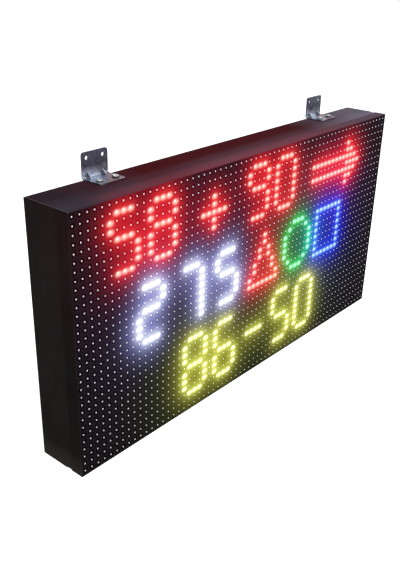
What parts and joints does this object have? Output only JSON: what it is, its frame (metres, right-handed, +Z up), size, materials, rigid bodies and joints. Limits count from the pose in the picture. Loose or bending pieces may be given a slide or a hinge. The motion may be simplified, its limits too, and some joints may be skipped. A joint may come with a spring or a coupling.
{
  "type": "rgb led matrix panel",
  "caption": "Outdoor full-colour LED matrix sign: louvred lamp modules in a black extruded aluminium frame with two steel hanging brackets.",
  "frame": {"origin": "middle of the underside, halfway through the depth from the frame's front edge to the brackets' rear faces", "axes": "+Z up, the lamps face -Y, +X to the right as seen from the front"},
  "size_m": [0.642, 0.07, 0.3527],
  "materials": {
    "frame": "satin black anodised",
    "mask": "matt black moulded, louvred",
    "board": "green solder resist",
    "back_frame": "moulded black",
    "steel": "galvanised",
    "screw": "bright plated",
    "cover": "black coated sheet",
    "bush": "matt rubber",
    "supply": "bare sheet",
    "terminals": "moulded black",
    "foam": "adhesive foam",
    "ribbon": "grey ribbon insulation",
    "lead": "red cable insulation"
  },
  "bodies": {
    "root": {"top_rail": "frame", "bottom_rail": "frame", "left_rail": "frame", "right_rail": "frame", "corner_key_bottom_left": "steel", "corner_key_bottom_right": "steel", "corner_key_top_left": "steel", "corner_key_top_right": "steel", "mask_bottom_left": "mask", "mask_bottom_right": "mask", "mask_top_left": "mask", "mask_top_right": "mask", "board_bottom_left": "board", "board_bottom_right": "board", "board_top_left": "board", "board_top_right": "board", "back_frame_bottom_left": "back_frame", "back_frame_bottom_right": "back_frame", "back_frame_top_left": "back_frame", "back_frame_top_right": "back_frame", "mounting_strip_left": "steel", "mounting_strip_middle": "steel", "mounting_strip_right": "steel", "strip_screw_bottom_left": "screw", "strip_screw_bottom_middle": "screw", "strip_screw_bottom_right": "screw", "strip_screw_top_left": "screw", "strip_screw_top_middle": "screw", "strip_screw_top_right": "screw", "rear_cover": "cover", "cover_screw_bottom_1": "screw", "cover_screw_bottom_2": "screw", "cover_screw_bottom_3": "screw", "cover_screw_top_1": "screw", "cover_screw_top_2": "screw", "cover_screw_top_3": "screw", "cable_bush": "bush", "bracket_left": "steel", "bracket_right": "steel", "bracket_screw_left_left": "screw", "bracket_screw_left_right": "screw", "bracket_screw_right_left": "screw", "bracket_screw_right_right": "screw", "supply_chassis": "supply", "supply_lid": "supply", "supply_terminals": "terminals", "supply_screw_bottom_left": "screw", "supply_screw_bottom_right": "screw", "supply_screw_top_left": "screw", "supply_screw_top_right": "screw", "control_card": "board", "card_pad": "foam", "link_ribbon_bottom": "ribbon", "link_ribbon_top": "ribbon", "card_ribbon_bottom": "ribbon", "card_ribbon_top": "ribbon", "power_lead_left": "lead", "power_lead_right": "lead", "card_lead": "lead"}
  },
  "joints": []
}
